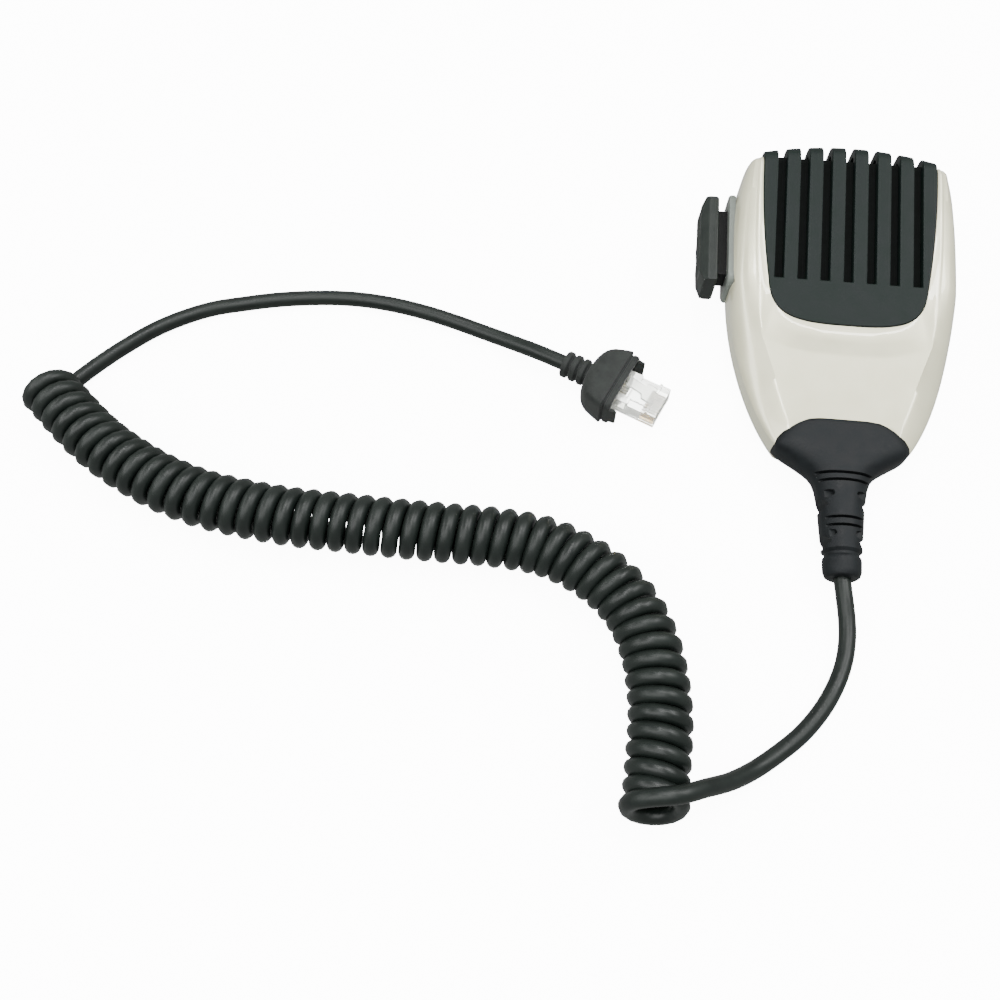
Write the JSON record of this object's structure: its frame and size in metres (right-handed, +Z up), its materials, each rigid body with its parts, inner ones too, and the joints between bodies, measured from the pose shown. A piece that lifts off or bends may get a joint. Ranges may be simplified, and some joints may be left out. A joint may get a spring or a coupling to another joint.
{
  "type": "hand microphone",
  "caption": "Hand microphone with a slotted grille, a side talk key, a hanger stud on its back and a curly cord to a hooded modular plug.",
  "frame": {"origin": "on the surface the microphone lies on, under the middle of the case, its key and its cord boot, without the free cord", "axes": "+Z up from the surface, +Y along the case towards the grille end, the talk key on the -X side and travelling along +X"},
  "size_m": [0.2842, 0.2097, 0.0397],
  "materials": {
    "silver_shell": "silver-grey paint under clear gloss",
    "black_plastic": "satin moulded black",
    "grey_plastic": "satin moulded grey",
    "black_rubber": "matt moulded rubber",
    "soft_rubber": "matt soft rubber",
    "cord_jacket": "satin extruded jacket",
    "black_cloth": "open woven cloth",
    "bright_metal": "bright nickel plate",
    "screw_steel": "zinc plated",
    "gold_plate": "gold flash",
    "clear_plastic": "clear polycarbonate",
    "board_laminate": "green solder mask",
    "component_black": "matt epoxy",
    "cream_plastic": "natural nylon",
    "red_plastic": "moulded red",
    "red_wire": "extruded insulation",
    "grey_wire": "extruded insulation"
  },
  "bodies": {
    "microphone": {"rear_shell": "silver_shell", "front_shell": "silver_shell", "case_seal": "soft_rubber", "grille": "black_plastic", "grille_cloth": "black_cloth", "capsule_holder": "soft_rubber", "mic_capsule": "bright_metal", "capsule_leads": "red_wire", "circuit_board": "board_laminate", "amplifier_parts": "component_black", "board_screws": "screw_steel", "wire_header": "cream_plastic", "lead_wires": "red_wire", "switch_body": "component_black", "key_bezel": "grey_plastic", "hanger_stud": "bright_metal", "stud_washer": "screw_steel", "stud_nut": "screw_steel", "case_screws": "screw_steel", "cord_clamp": "screw_steel", "clamp_screws": "screw_steel", "cord_boot": "black_rubber", "cord_stub": "cord_jacket", "cord_tail": "cord_jacket", "cord_coil": "cord_jacket", "cord_lead": "cord_jacket", "plug_hood": "black_rubber", "plug_body": "clear_plastic", "plug_contacts": "gold_plate", "plug_wires": "grey_wire"},
    "talk_key": {"talk_key": "black_plastic"},
    "switch_plunger": {"switch_plunger": "red_plastic"},
    "plug_latch": {"plug_latch": "clear_plastic"}
  },
  "joints": [
    {"name": "key_press", "type": "slide", "parent": "microphone", "child": "talk_key", "axis": [1, 0, 0], "range_m": [0, 0.002], "stiffness_N_per_m": 1000, "springref_m": -0.001},
    {"name": "plunger_press", "type": "slide", "parent": "microphone", "child": "switch_plunger", "axis": [1, 0, 0], "range_m": [0, 0.002]},
    {"name": "latch_press", "type": "hinge", "parent": "microphone", "child": "plug_latch", "pos_m": [-0.05105, -0.01445, 0.01], "axis": [-0.4067, -0.9135, 0], "range_deg": [0, 10], "stiffness_Nm_per_rad": 0.15}
  ],
  "couplings": [
    {"joint": "plunger_press", "follows": "key_press", "ratio": 1}
  ]
}
